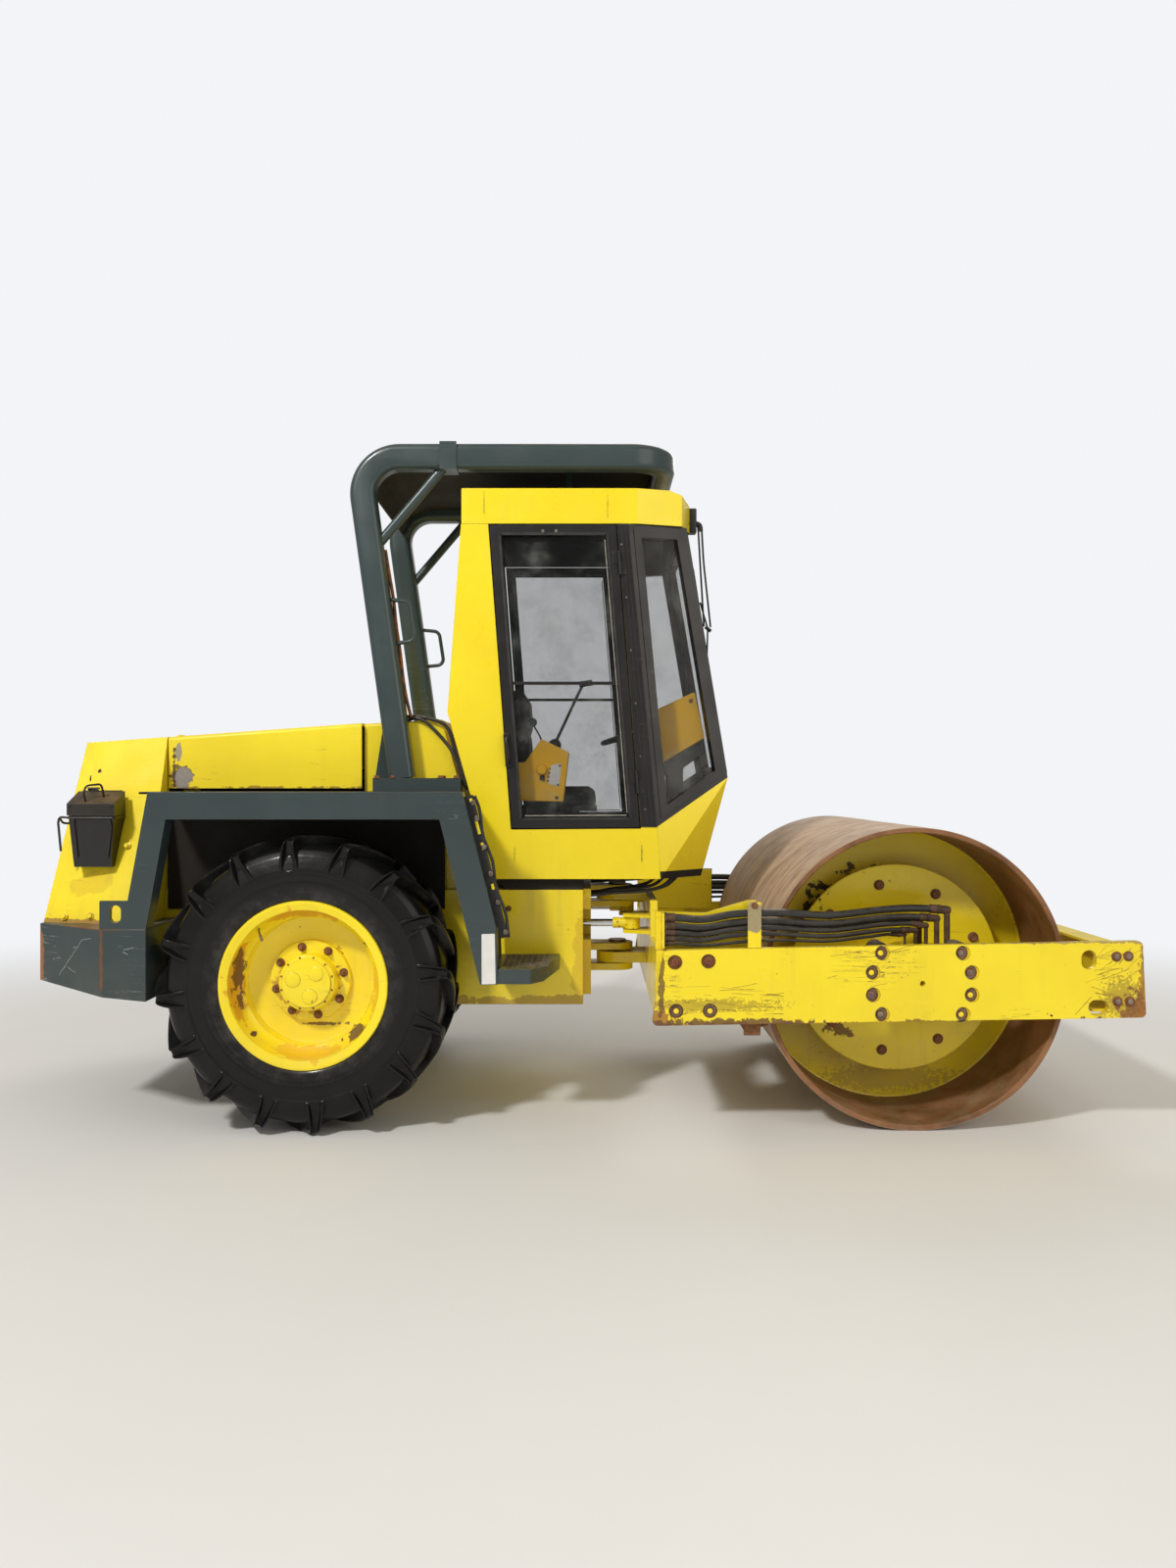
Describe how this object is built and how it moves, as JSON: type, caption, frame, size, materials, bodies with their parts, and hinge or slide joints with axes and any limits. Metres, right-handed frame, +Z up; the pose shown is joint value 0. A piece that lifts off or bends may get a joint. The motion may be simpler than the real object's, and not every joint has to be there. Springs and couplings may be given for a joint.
{
  "type": "single-drum soil road roller",
  "caption": "Articulated soil roller: smooth steel drum in a front frame, rear tyres with bar tread, hood, cab with doors and a tubular roll-over frame.",
  "frame": {"origin": "On the ground, at the middle of the overall length and width", "axes": "+X forward towards the drum, +Y to the machine's left, +Z up"},
  "size_m": [5.4978, 2.327, 3.5125],
  "materials": {
    "yellow_paint": "gloss",
    "grey_paint": "satin",
    "black_paint": "satin",
    "console_paint": "satin",
    "window_glass": "clear",
    "tyre_rubber": "satin",
    "drum_steel": "dusty, rusted",
    "bare_steel": "worn",
    "engine_iron": "matt",
    "buffer_rubber": "matt",
    "hose_rubber": "matt",
    "plated_steel": "worn zinc",
    "seat_cover": "woven",
    "black_plastic": "matt",
    "rod_chrome": "polished"
  },
  "bodies": {
    "rear_frame": {"main_frame": "yellow_paint", "articulation_pins": "bare_steel", "engine_block": "engine_iron", "rear_axle": "engine_iron", "counterweight": "grey_paint", "fender_frame_right": "grey_paint", "fender_frame_left": "grey_paint", "wheel_arches": "yellow_paint", "steps": "grey_paint", "rear_housing": "yellow_paint", "rear_grille": "black_paint", "cowl": "yellow_paint", "rops_frame": "grey_paint", "rops_roof": "grey_paint", "grab_handles": "grey_paint", "cab_floor": "grey_paint", "cab_side_right": "yellow_paint", "cab_side_left": "yellow_paint", "cab_rear_wall": "yellow_paint", "cab_front": "yellow_paint", "cab_roof": "yellow_paint", "window_frames": "black_paint", "window_glass": "window_glass", "seat_base": "black_paint", "seat_cushions": "seat_cover", "steering_column": "black_plastic", "operator_console": "console_paint", "toolbox": "black_paint"},
    "front_frame": {"side_plate_right": "yellow_paint", "side_plate_left": "yellow_paint", "front_beam": "yellow_paint", "articulation_yoke": "yellow_paint", "drum_carriers": "yellow_paint", "rubber_buffers": "buffer_rubber", "drum_scraper": "bare_steel", "drum_hoses": "hose_rubber", "hose_hardware": "plated_steel"},
    "drum": {"drum_shell": "drum_steel", "drum_webs": "yellow_paint"},
    "wheel_right": {"tyre_right": "tyre_rubber", "rim_right": "yellow_paint"},
    "wheel_left": {"tyre_left": "tyre_rubber", "rim_left": "yellow_paint"},
    "door_right": {"door_frame_right": "black_paint", "door_glass_right": "window_glass"},
    "door_left": {"door_frame_left": "black_paint", "door_glass_left": "window_glass"},
    "hood_lid": {"hood": "yellow_paint"},
    "box_lid": {"toolbox_lid": "black_paint"},
    "hand_wheel": {"steering_wheel": "black_plastic"},
    "barrel_right": {"steering_barrel_right": "black_paint"},
    "barrel_left": {"steering_barrel_left": "black_paint"},
    "rod_right": {"steering_rod_right": "rod_chrome"},
    "rod_left": {"steering_rod_left": "rod_chrome"}
  },
  "joints": [
    {"name": "steer", "type": "hinge", "parent": "rear_frame", "child": "front_frame", "pos_m": [0.21, 0, 0.8], "axis": [0, 0, 1], "range_deg": [-25, 25]},
    {"name": "drum_spin", "type": "hinge", "parent": "front_frame", "child": "drum", "pos_m": [1.655, 0, 0.75], "axis": [0, 1, 0], "continuous": true},
    {"name": "wheel_right_spin", "type": "hinge", "parent": "rear_frame", "child": "wheel_right", "pos_m": [-1.349, -0.93, 0.73], "axis": [0, 1, 0], "continuous": true},
    {"name": "wheel_left_spin", "type": "hinge", "parent": "rear_frame", "child": "wheel_left", "pos_m": [-1.349, 0.93, 0.73], "axis": [0, 1, 0], "continuous": true},
    {"name": "door_right_hinge", "type": "hinge", "parent": "rear_frame", "child": "door_right", "pos_m": [0.31649, -0.6485, 1.48428], "axis": [-0.0794, 0, 0.9968], "range_deg": [0, 100]},
    {"name": "door_left_hinge", "type": "hinge", "parent": "rear_frame", "child": "door_left", "pos_m": [0.31649, 0.6485, 1.48428], "axis": [0.0794, 0, -0.9968], "range_deg": [0, 100]},
    {"name": "hood_hinge", "type": "hinge", "parent": "rear_frame", "child": "hood_lid", "pos_m": [-2.1965, 0, 1.97417], "axis": [0, -1, 0], "range_deg": [0, 70]},
    {"name": "box_lid_hinge", "type": "hinge", "parent": "rear_frame", "child": "box_lid", "pos_m": [-2.485, -0.74, 1.69], "axis": [-1, 0, 0], "range_deg": [0, 100]},
    {"name": "hand_wheel_spin", "type": "hinge", "parent": "rear_frame", "child": "hand_wheel", "pos_m": [0.33, 0, 1.99], "axis": [-0.2968, 0, 0.9549], "continuous": true},
    {"name": "barrel_right_swing", "type": "hinge", "parent": "rear_frame", "child": "barrel_right", "pos_m": [-0.7, -0.435, 0.957], "axis": [0, 0, 1], "range_deg": [-6, 6]},
    {"name": "barrel_left_swing", "type": "hinge", "parent": "rear_frame", "child": "barrel_left", "pos_m": [-0.7, 0.435, 0.957], "axis": [0, 0, 1], "range_deg": [-6, 6]},
    {"name": "rod_right_slide", "type": "slide", "parent": "barrel_right", "child": "rod_right", "axis": [1, 0, 0], "range_m": [-0.2, 0.2]},
    {"name": "rod_left_slide", "type": "slide", "parent": "barrel_left", "child": "rod_left", "axis": [1, 0, 0], "range_m": [-0.2, 0.2]}
  ],
  "couplings": [
    {"joint": "barrel_right_swing", "follows": "steer", "ratio": 0.0696},
    {"joint": "barrel_left_swing", "follows": "steer", "ratio": 0.0696},
    {"joint": "rod_right_slide", "follows": "steer", "m_per_rad": 0.4235},
    {"joint": "rod_left_slide", "follows": "steer", "m_per_rad": -0.4235}
  ]
}
